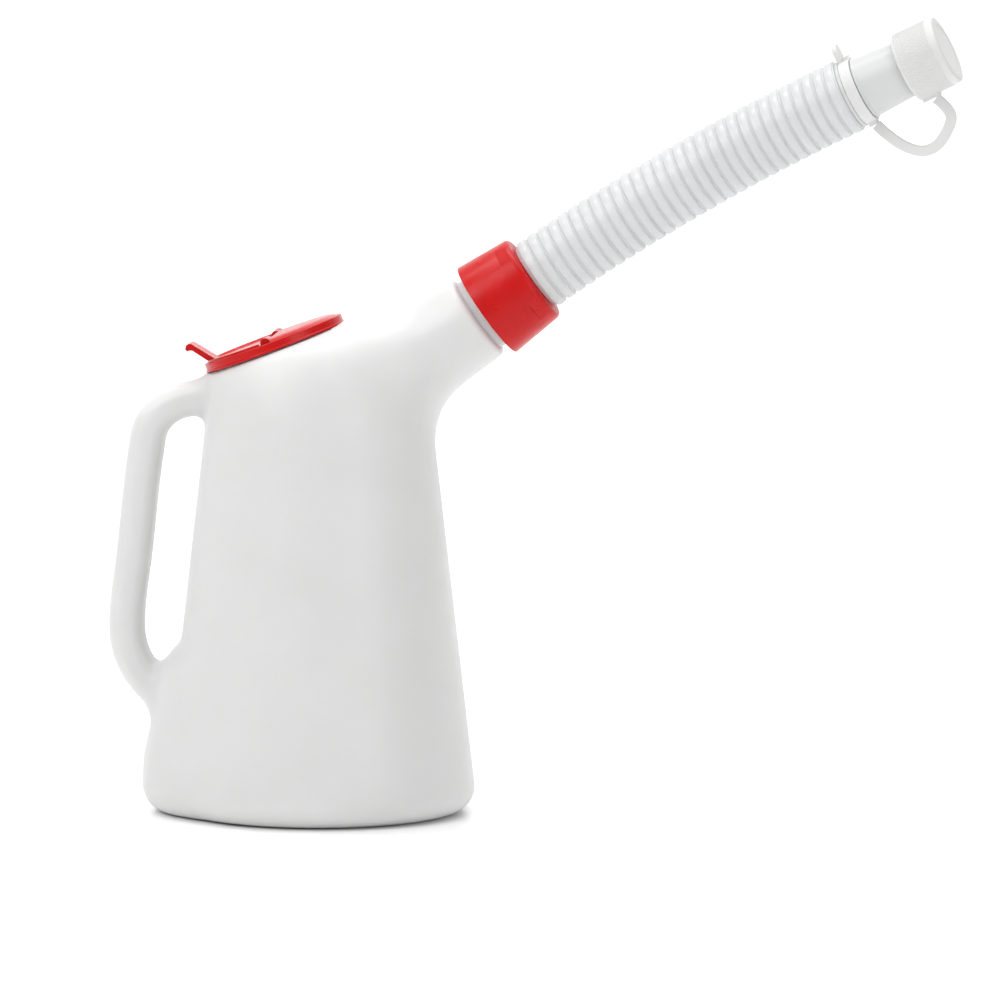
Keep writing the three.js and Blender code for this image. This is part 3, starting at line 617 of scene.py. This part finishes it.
def opened(work, place, is_inside, radius, height, rings):
    """Opens the skin where is_inside says so, trims the edge to a circle and carries it on as rings."""
    back = place.inverted()
    doomed = [f for f in work.faces if is_inside(back @ f.calc_center_median())]
    bmesh.ops.delete(work, geom=doomed, context="FACES")
    work.verts.ensure_lookup_table()
    rim = []
    for v in {v for e in work.edges if e.is_boundary for v in e.verts}:
        local = back @ v.co
        if abs(local.z - height) > 8 or abs(math.hypot(local.x, local.y) - radius) > 8:
            continue
        stretch = radius / math.hypot(local.x, local.y)
        v.co = place @ Vector((local.x * stretch, local.y * stretch, height))
        rim.append((math.atan2(local.y, local.x), v))
    rim.sort(key=lambda item: item[0])
    facets = 96
    last = rim
    for r, z in rings:
        ring = []
        for i in range(facets):
            angle = -math.pi + 2 * math.pi * i / facets
            rim_point = Vector((r * math.cos(angle), r * math.sin(angle), z))
            ring.append((angle, work.verts.new(place @ rim_point)))
        for face in zipped(last, ring):
            if len(set(face)) == 3:
                work.faces.new(face)
        last = ring


def jug_skin():
    field, corner = skin_field()
    grid = openvdb.FloatGrid()
    grid.background = 3 * VOXEL
    grid.transform = openvdb.createLinearTransform(voxelSize=VOXEL)
    grid.copyFromArray(field, ijk=corner)
    points, quads = grid.convertToQuads(isovalue=0.0)
    mesh = mesh_of("skin", points, [tuple(int(i) for i in q) for q in quads])
    work = bmesh.new()
    work.from_mesh(mesh)
    neck_cut = 91.0
    neck_at = lambda s: NECK_RADIUS + NECK_TAPER * (NECK_END - s)
    shoulder = [(neck_at(93), 93), (neck_at(95.4), 95.4), (neck_at(96.4) - 0.05, 96.4),
                (neck_at(97.6) - 0.5, 97.7),
                (neck_at(98.6) - 1.3, 98.8), (SPIGOT_RADIUS + 0.6, 99.4), (SPIGOT_RADIUS + 0.1, 99.9),
                (SPIGOT_RADIUS, 100.6), (SPIGOT_RADIUS, 121.2), (SPIGOT_RADIUS - 0.2, 121.8),
                (SPIGOT_RADIUS - 0.7, SPIGOT_END)]
    opened(work, NECK, lambda p: p.z > neck_cut - 0.6 and math.hypot(p.x, p.y) < 40, neck_at(neck_cut),
           neck_cut, shoulder)
    collar = [(COLLAR_RADIUS + 0.4, -0.5), (COLLAR_RADIUS, -0.1), (COLLAR_RADIUS, 0.5),
              (COLLAR_RADIUS - 0.3, 1.0),
              (COLLAR_RADIUS - 0.9, 1.2)]
    opened(work, LID, lambda p: abs(p.z) < 5 and math.hypot(p.x, p.y) < COLLAR_RADIUS + 0.8,
           COLLAR_RADIUS + 1.2, -0.5, collar)
    bmesh.ops.recalc_face_normals(work, faces=work.faces)
    work.to_mesh(mesh)
    work.free()
    bench = on_bench(mesh)
    wall = bench.modifiers.new("wall", "SOLIDIFY")
    wall.thickness = WALL
    wall.offset = -1
    return evaluated(bench)


# ---------- threads, ribs and the hose: what repeats ----------

def thread_plan():
    """A thread wound left-handed round Z: a spiral that fades in and out, drawn from a rounded bar."""
    net, given = plan("screw_thread", {"Radius": 1.0, "Pitch": 1.0, "Turns": 2.0, "Start": 0.0, "Height": 1.0,
                                       "Width": 1.0})
    rise = net.maths("MULTIPLY", given["Pitch"], given["Turns"])
    spiral = net.add("GeometryNodeCurveSpiral", {
        "Resolution": 72, "Rotations": given["Turns"], "Start Radius": given["Radius"],
        "End Radius": given["Radius"], "Height": rise}).outputs[0]
    along = net.add("GeometryNodeSplineParameter").outputs["Factor"]
    edge = net.maths("MULTIPLY", net.maths("MINIMUM", along, net.maths("SUBTRACT", 1.0, along)), 14.0)
    fade = net.add("ShaderNodeClamp", {0: edge, 1: 0.12, 2: 1.0}).outputs[0]
    upright = net.add("GeometryNodeSetCurveNormal", {"Curve": spiral}, mode="Z_UP")
    bar_shape = net.add("GeometryNodeCurvePrimitiveQuadrilateral", {
        "Width": net.maths("MULTIPLY", given["Height"], 2.0), "Height": given["Width"]}).outputs[0]
    soft = net.add("GeometryNodeFilletCurve", mode="POLY", inputs={
        "Curve": bar_shape, "Radius": net.maths("MULTIPLY", given["Width"], 0.3), "Count": 3})
    drawn = net.add("GeometryNodeCurveToMesh", {
        "Curve": upright.outputs[0], "Profile Curve": soft.outputs[0], "Scale": fade,
        "Fill Caps": True}).outputs[0]
    lift = net.add("ShaderNodeCombineXYZ", {2: given["Start"]}).outputs[0]
    placed = net.add("GeometryNodeTransform", {"Geometry": drawn, "Translation": lift}).outputs[0]
    return finish_plan(net, placed)


def knurl_plan():
    """Fine upright ribs round a skirt."""
    net, given = plan("knurl", {"Count": 90, "Radius": 17.8, "Width": 0.6, "Height": 16.0, "Start": 0.0})
    circle = net.add("GeometryNodeCurvePrimitiveCircle",
                     {"Radius": given["Radius"], "Resolution": 180}).outputs[0]
    points = net.add("GeometryNodeCurveToPoints", {"Curve": circle, "Count": given["Count"]})
    rod = net.add("GeometryNodeMeshCylinder", {
        "Vertices": 6, "Radius": net.maths("MULTIPLY", given["Width"], 0.5),
        "Depth": given["Height"]}).outputs["Mesh"]
    ribs = net.add("GeometryNodeInstanceOnPoints",
                   {"Points": points.outputs["Points"], "Instance": rod}).outputs[0]
    middle = net.maths("ADD", given["Start"], net.maths("MULTIPLY", given["Height"], 0.5))
    lift = net.add("ShaderNodeCombineXYZ", {2: middle}).outputs[0]
    placed = net.add("GeometryNodeTransform", {"Geometry": ribs, "Translation": lift}).outputs[0]
    return finish_plan(net, placed)


def bellows_plan():
    """A corrugated tube along a curve: broad rounded ridges with narrow grooves between them."""
    net, given = plan("bellows", {"Start": 0.0, "Pitch": 6.0, "Ridge Radius": 18.9, "Groove Radius": 17.6,
                                  "Groove Half": 0.3, "Flank": 0.85, "Crown": 0.2, "Rings": 60, "Facets": 72})
    count = given["Rings"]
    rings = net.add("GeometryNodeResampleCurve", {"Curve": given["Geometry"], "Count": count}).outputs[0]
    upright = net.add("GeometryNodeSetCurveNormal", {"Curve": rings}, mode="Z_UP")
    along = net.maths("ADD", net.add("GeometryNodeSplineParameter").outputs["Length"], given["Start"])
    half = net.maths("MULTIPLY", given["Pitch"], 0.5)
    from_groove = net.maths("PINGPONG", along, half)
    foot = given["Groove Half"]
    rim = net.maths("ADD", foot, given["Flank"])
    ridge = net.add("ShaderNodeMapRange", {0: from_groove, 1: foot, 2: rim, 3: 0.0, 4: 1.0},
                    interpolation_type="SMOOTHSTEP").outputs[0]
    crown = net.add("ShaderNodeMapRange", {0: from_groove, 1: rim, 2: half, 3: 0.0, 4: 1.0},
                    interpolation_type="SMOOTHSTEP").outputs[0]
    depth = net.maths("SUBTRACT", given["Ridge Radius"], given["Groove Radius"])
    body = net.maths("MULTIPLY", ridge, net.maths("SUBTRACT", depth, given["Crown"]))
    swell = net.maths("ADD", body, net.maths("MULTIPLY", crown, given["Crown"]))
    radius = net.maths("ADD", given["Groove Radius"], swell)
    circle = net.add("GeometryNodeCurvePrimitiveCircle",
                     {"Radius": 1.0, "Resolution": given["Facets"]}).outputs[0]
    drawn = net.add("GeometryNodeCurveToMesh", {
        "Curve": upright.outputs[0], "Profile Curve": circle, "Scale": radius}).outputs[0]
    return finish_plan(net, drawn)


def strap_plan():
    """A flat strap with rounded edges along a curve."""
    net, given = plan("strap", {"Width": 5.6, "Thickness": 1.9, "Twist": 0.0, "Steps": 60})
    curve = net.add("GeometryNodeResampleCurve",
                    {"Curve": given["Geometry"], "Count": given["Steps"]}).outputs[0]
    along = net.add("GeometryNodeSplineParameter").outputs["Factor"]
    tilt = net.maths("MULTIPLY", net.maths("SINE", net.maths("MULTIPLY", along, math.pi)), given["Twist"])
    tilted = net.add("GeometryNodeSetCurveTilt", {"Curve": curve, "Tilt": tilt}).outputs[0]
    flat = net.add("GeometryNodeCurvePrimitiveQuadrilateral", {
        "Width": given["Thickness"], "Height": given["Width"]}).outputs[0]
    soft = net.add("GeometryNodeFilletCurve", mode="POLY", inputs={
        "Curve": flat, "Radius": net.maths("MULTIPLY", given["Thickness"], 0.42), "Count": 4})
    drawn = net.add("GeometryNodeCurveToMesh", {
        "Curve": tilted, "Profile Curve": soft.outputs[0], "Fill Caps": True}).outputs[0]
    return finish_plan(net, drawn)


THREAD = thread_plan()
KNURL = knurl_plan()
BELLOWS = bellows_plan()
STRAP = strap_plan()


def empty_mesh():
    return on_bench(bpy.data.meshes.new("seed"))


def screw_thread(sizes, material, place):
    return cleaned(grown(empty_mesh(), THREAD, sizes, material), place)


# ---------- the jug's pieces ----------

def make_jug():
    piece("jug_skin", jug_skin(), BODY_PLASTIC, "jug", ("jug_body",), sharp=50)
    sizes = {"Radius": SPIGOT_RADIUS + 0.1, "Pitch": NECK_PITCH, "Turns": 2.25, "Start": 108.1, "Height": 1.1,
             "Width": 2.0}
    piece("neck_thread", screw_thread(sizes, BODY_PLASTIC, NECK), BODY_PLASTIC, "jug")


# ---------- lid ----------

LID_RADIUS = 36.9
RIM_HEIGHT = 4.6
LEDGE_TOP = 2.8
LEDGE_RADIUS = 28.5
BARREL_RADIUS = 2.3
BARREL_END = 25
BARREL_LENGTH = 10
LUG_LENGTH = 5
PIN_RADIUS = 1.3


def rod(name, radius, low, high, facets=32):
    """A rod across the lid along the hinge."""
    shape = [(0, low, 0), (radius, low, 0.35), (radius, high, 0.35), (0, high, 0)]
    along_hinge = LID @ Matrix.Translation((0, 0, HINGE_Z)) @ Matrix.Rotation(-math.pi / 2, 4, "X")
    return turned(name, shape, facets, along_hinge, 3)


def half_disc(name, outline, x, side, facets=112):
    """One side of a turned solid, cut straight across the lid."""
    whole = turned(name, outline, facets, LID)
    reach = 80
    low, high = ((x, reach) if side > 0 else (-reach, x))
    return combined(whole, [block("cut", (low, -reach, -reach), (high, reach, reach), LID)], "INTERSECT")


def lid_rim():
    inner = COLLAR_RADIUS + 0.3
    rim = LID_RADIUS - 2
    ring = turned("ring", [
        (inner, 0, 0.2), (LID_RADIUS + 0.15, 0, 0.35), (LID_RADIUS + 0.15, 0.9, 0.2),
        (LID_RADIUS - 0.25, 1.2, 0.2),
        (LID_RADIUS - 0.35, RIM_HEIGHT, 1.1), (rim, RIM_HEIGHT, 0.5), (rim, LEDGE_TOP, 0.25),
        (LEDGE_RADIUS, LEDGE_TOP, 0.4), (LEDGE_RADIUS, LEDGE_TOP - 1.3, 0.3), (inner, LEDGE_TOP - 1.3, 0.3),
    ], 144, LID)
    top = RIM_HEIGHT + 1.8
    dome = half_disc("dome", [
        (0, LEDGE_TOP - 1.3, 0), (rim + 0.4, LEDGE_TOP - 1.3, 0), (rim + 0.4, RIM_HEIGHT - 0.5, 0.1),
        (rim - 1.2, RIM_HEIGHT + 0.5, 0.6), (rim - 4, top - 0.35, 2.4), (rim - 13, top, 4),
        (0, top + 0.25, 0),
    ], 3.0, 1)
    lugs = []
    for side in (-1, 1):
        ends = sorted((side * (BARREL_END + 0.3), side * (BARREL_END + 0.3 + LUG_LENGTH)))
        lugs.append(rod("lug", BARREL_RADIUS + 0.2, *ends))
        lugs.append(block("stem", (-BARREL_RADIUS, ends[0] + 0.1, LEDGE_TOP - 0.3),
                          (BARREL_RADIUS, ends[1] - 0.1, HINGE_Z), LID))
    whole = combined(ring, [dome, *lugs])
    holes = [rod("hole", PIN_RADIUS + 0.3, -BARREL_END - 4, BARREL_END + 4)]
    return edged(combined(whole, holes, "DIFFERENCE"), 0.22)


def lid_flap():
    seat = LEDGE_TOP + 0.3
    edge = LID_RADIUS - 2.4
    top = seat + 1.5
    disc = half_disc("disc", [
        (0, seat, 0), (edge, seat, 0.2), (edge, top + 1.1, 0.6), (edge - 2, top + 1.1, 0.6),
        (edge - 2.8, top, 0.9), (0, top, 0),
    ], -1.2, -1)
    plug = half_disc("plug", [
        (LEDGE_RADIUS - 2.2, seat - 3, 0.5), (LEDGE_RADIUS - 0.6, seat - 3, 0.5),
        (LEDGE_RADIUS - 0.6, seat + 0.5, 0),
        (LEDGE_RADIUS - 2.2, seat + 0.5, 0),
    ], -7, -1)
    room = [block("room", (-BARREL_RADIUS - 0.7, min(s * BARREL_END, s * (BARREL_END + 14)), -2),
                  (4, max(s * BARREL_END, s * (BARREL_END + 14)), 12), LID) for s in (-1, 1)]
    half = combined(disc, room, "DIFFERENCE")
    knuckles = []
    for side in (-1, 1):
        ends = sorted((side * (BARREL_END - BARREL_LENGTH), side * BARREL_END))
        knuckles.append(rod("barrel", BARREL_RADIUS, *ends))
        ends = sorted((side * (BARREL_END - 4), side * (BARREL_END + LUG_LENGTH - 1.5)))
        knuckles.append(rod("pin", PIN_RADIUS, *ends))
    angle = math.radians(52)
    start = Vector((-(edge - 3.2), 0, top))
    out = Vector((-math.cos(angle), 0, math.sin(angle)))
    up = Vector((math.sin(angle), 0, math.cos(angle)))
    side_view = [(-2.2, -1.5), (11.6, -1.3), (12.9, -2.1), (13.6, -3.1), (14.9, -2.7), (15.6, -0.9),
                 (15.1, 0.6),
                 (13.9, 1.3), (-1.8, 1.5)]
    lever = bar("lever", [((start + a * out + b * up).x, (start + a * out + b * up).z) for a, b in side_view],
                -7, 7, LID)
    whole = combined(half, [plug, *knuckles, lever])
    return edged(whole, 0.28)


def make_lid():
    piece("lid_rim", lid_rim(), LID_PLASTIC, "lid", ("lid_ring",), sharp=30)
    piece("lid_flap_shell", lid_flap(), LID_PLASTIC, "flap", ("lid_flap",), sharp=30)


# ---------- union nut, seal and hose ----------

NUT_START = 104.1
NUT_END = 133.1
HOSE_START = 134.8
NUT_RADIUS = 25.7
NUT_TAPER = 2.5
NUT_BORE = 21.05
CUFF_RADIUS = 16.8
HOSE_WALL = 1.1


def make_nut():
    inner = NUT_BORE
    outer = lambda s: NUT_RADIUS - NUT_TAPER * (s - NUT_START) / (NUT_END - NUT_START)
    shell = turned("nut", [
        (inner + 0.5, NUT_START, 0.4), (outer(NUT_START), NUT_START, 0.6), (outer(NUT_END), NUT_END, 5.6),
        (17.6, NUT_END + 0.05, 0.2), (17.4, NUT_END + 0.7, 0.3), (15.8, NUT_END + 0.7, 0.3),
        (15.7, 127.5, 0.3),
        (inner, 127.5, 0.3),
    ], 144, NECK, 10)
    pockets = []
    for k in range(4):
        turn = Matrix.Rotation(math.radians(38 + 90 * k), 4, "Z")
        pockets.append(block("pocket", (outer(128) - 0.55, -6.6, 125.2), (30, 6.6, 130.6), NECK @ turn))
    nut = edged(combined(shell, pockets, "DIFFERENCE"), 0.25)
    piece("union_nut", nut, NUT_PLASTIC, "nut", ("spout_nut",), sharp=30)
    sizes = {"Radius": inner - 0.05, "Pitch": NECK_PITCH, "Turns": 1.5, "Start": 110.1, "Height": 1.0,
             "Width": 1.9}
    piece("nut_thread", screw_thread(sizes, NUT_PLASTIC, NECK), NUT_PLASTIC, "nut")
    seal = turned("seal", [(17.2, 122.3, 0.3), (20, 122.3, 0.3), (20, 124.3, 0.3), (17.2, 124.3, 0.3)], 96,
                  NECK)
    piece("spout_seal", seal, RUBBER, "spout_base", ("spout_gasket",))


def make_hose():
    bore = 13.7
    cuff = turned("cuff", [
        (bore, 124.6, 0.4), (20.2, 124.6, 0.4), (20.2, 127.2, 0.4), (15.2, 127.2, 0.4),
        (15.2, NUT_END + 0.2, 0.2),
        (CUFF_RADIUS, NUT_END + 0.5, 0.4), (CUFF_RADIUS, HOSE_START, 0), (CUFF_RADIUS - 1.2, HOSE_START, 0),
        (bore + 0.8, NUT_END - 0.5, 0.4),
        (bore, NUT_END - 3, 0.4),
    ], 96, NECK)
    piece("spout_cuff", cuff, HOSE_PLASTIC, "cuff", ("hose_cuff",))
    pivots = [joint_point(name) for name in BENDS]
    pivots.append(pivots[-1] + 2 * RIDGE_PITCH * TIP_AXIS)
    middles = [(a + b) / 2 for a, b in zip(pivots[:-1], pivots[1:])]
    for k in range(SECTIONS + 1):
        start = pivots[0] if k == 0 else middles[k - 1]
        end = middles[k]
        bend = (start + end) / 2 if k == 0 else pivots[k]
        path = []
        for t in np.linspace(0, 1, 49):
            path.append((1 - t) ** 2 * start + 2 * t * (1 - t) * bend + t * t * end)
        if k == SECTIONS:
            path += [end.lerp(pivots[-1], t) for t in np.linspace(0, 1, 25)[1:]]
        length = 2 * RIDGE_PITCH if 0 < k < SECTIONS else (RIDGE_PITCH if k == 0 else 3 * RIDGE_PITCH)
        sizes = {"Start": 0.0 if k == 0 else (2 * k - 1) * RIDGE_PITCH, "Pitch": RIDGE_PITCH,
                 "Rings": round(5 * length) + 1}
        mesh = cleaned(grown(path_object(path), BELLOWS, sizes, HOSE_PLASTIC))
        bench = on_bench(mesh)
        wall = bench.modifiers.new("wall", "SOLIDIFY")
        wall.thickness = HOSE_WALL
        wall.offset = -1
        name = f"hose_bellows_{k:02d}"
        part = piece(name, cleaned(evaluated(bench)), HOSE_PLASTIC, None,
                     (f"hose_section_{k:02d}",) if k else (), sharp=60)
        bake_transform(part)


# ---------- tip, tether and cap ----------

CAP_START = 31.5
CAP_RADIUS = 17.8
CAP_END = 54.8
CAP_BORE = 15.45
CAP_PITCH = 3.2
TIP_RADIUS = 13.9
TIP_BORE = 12.2
TIP_END = 51
BAND_RADIUS = 17.1
BAND_BORE = 15.6
STRAP_DROP = 22.5


def make_tip():
    tip = turned("tip", [
        (16.7, 0, 0), (17.4, 0.3, 0.3), (17.4, 2, 0.3), (15.3, 2, 0.2), (15.3, 8, 0.2), (16.1, 8.2, 0.3),
        (16.1, 9.2, 0.3), (15.5, 9.9, 0.5), (14.2, CAP_START + 0.6, 0.4), (TIP_RADIUS, CAP_START + 1.6, 0.4),
        (TIP_RADIUS, TIP_END, 0.5), (TIP_BORE, TIP_END, 0.4), (TIP_BORE, CAP_START, 1), (13.8, 7.7, 2),
        (13.8, 1, 0.5), (15.6, 0, 0),
    ], 96, TIP)
    piece("spout_nozzle", tip, TIP_PLASTIC, "tip", ("spout_tip",))
    sizes = {"Radius": TIP_RADIUS - 0.05, "Pitch": CAP_PITCH, "Turns": 2.0, "Start": 38.5, "Height": 1.05,
             "Width": 1.6}
    piece("nozzle_thread", screw_thread(sizes, TIP_PLASTIC, TIP), TIP_PLASTIC, "tip")


def make_tether():
    low, high = 2.08, 7.92
    ring = turned("band",
                  [(BAND_BORE, low, 0.2), (BAND_RADIUS, low, 0.25), (BAND_RADIUS, high, 0.25),
                   (BAND_BORE, high, 0.2)], 96, TIP)
    height = 8.5
    half = 4.5
    centre = height - half + 1
    arch = [(-half * math.cos(t), centre + half * math.sin(t)) for t in np.linspace(0, math.pi, 15)]
    shape = [(-half, -0.6), *arch, (half, -0.6)]
    upright = TIP @ Matrix.Translation((-16.4, 0, low + 0.1)) @ Matrix.Rotation(math.pi / 2, 4, "Z")
    count = len(shape)
    thick = 2.8
    points = [(x, y, z) for z in (0, thick) for x, y in shape]
    faces = [tuple(range(count)), tuple(range(2 * count - 1, count - 1, -1))]
    faces += [(i, (i + 1) % count, count + (i + 1) % count, count + i) for i in range(count)]
    tab = mesh_of("tab", points, faces, upright)
    middle = (low + high) / 2
    heel = block("heel", (-18.4, -3.5, low + 0.2), (-16, 3.5, high - 0.2), TIP)
    root = block("root", (16.1, -3.4, middle - 2.1), (18.7, 3.4, middle + 2.1), TIP)
    piece("tether_band", edged(combined(ring, [tab, heel, root]), 0.45, 3), CAP_PLASTIC, "tether",
          ("tether_ring",), sharp=40)
    start = BAND_RADIUS + 1.6 + 0.3
    drop = STRAP_DROP
    end_z = CAP_START + 1.2 + 7
    loop = [(start, 5.7), (start + 0.3 * drop, 8.5), (start + 0.72 * drop, 14.2), (start + 0.97 * drop, 21.2),
            (start + drop, 27.7), (start + 0.87 * drop, 34.2), (start + 0.55 * drop, end_z + 1.8),
            (start + 0.24 * drop, end_z + 1), (CAP_RADIUS + 2, end_z - 1)]
    path = [TIP @ Vector((x, 0, z)) for x, z in smooth_path(loop, 8)]
    strap = cleaned(grown(path_object(path), STRAP, {"Twist": 0.35}, CAP_PLASTIC))
    piece("tether_strap", strap, CAP_PLASTIC, "tether", ("cap_tether",), sharp=40)


def make_cap():
    inner = CAP_BORE
    cap = turned("cap", [
        (0, 52.8, 0), (inner, 52.8, 0.5), (inner, CAP_START, 0.3), (CAP_RADIUS, CAP_START, 1.3),
        (CAP_RADIUS, CAP_END, 3.4), (13.4, CAP_END + 0.02, 0.5), (13.0, CAP_END - 0.35, 0.4),
        (0, CAP_END - 0.35, 0),
    ], 120, TIP, 6)
    boss = block("boss", (16.6, -4, CAP_START + 1.2), (CAP_RADIUS + 1.5, 4, CAP_START + 10.2), TIP)
    piece("screw_cap", edged(combined(cap, [boss]), 0.4, 3), CAP_PLASTIC, "cap",
          ("spout_cap",), sharp=35)
    sizes = {"Count": 96, "Radius": CAP_RADIUS - 0.08, "Width": 0.62, "Height": 17.6,
             "Start": CAP_START + 1.4}
    piece("cap_knurl", cleaned(grown(empty_mesh(), KNURL, sizes, CAP_PLASTIC), TIP), CAP_PLASTIC, "cap")
    sizes = {"Radius": inner - 0.05, "Pitch": CAP_PITCH, "Turns": 1.25, "Start": 40.1, "Height": 0.95,
             "Width": 1.5}
    piece("cap_thread", screw_thread(sizes, CAP_PLASTIC, TIP), CAP_PLASTIC, "cap")
    liner = turned("liner", [(0, 51.3, 0), (14.5, 51.3, 0.3), (14.5, 52.5, 0.3), (0, 52.5, 0)], 72, TIP)
    piece("cap_liner", liner, LINER, "cap", ("cap_seal",))


make_camera()
make_studio()
make_jug()
make_lid()
make_nut()
make_hose()
make_tip()
make_tether()
make_cap()
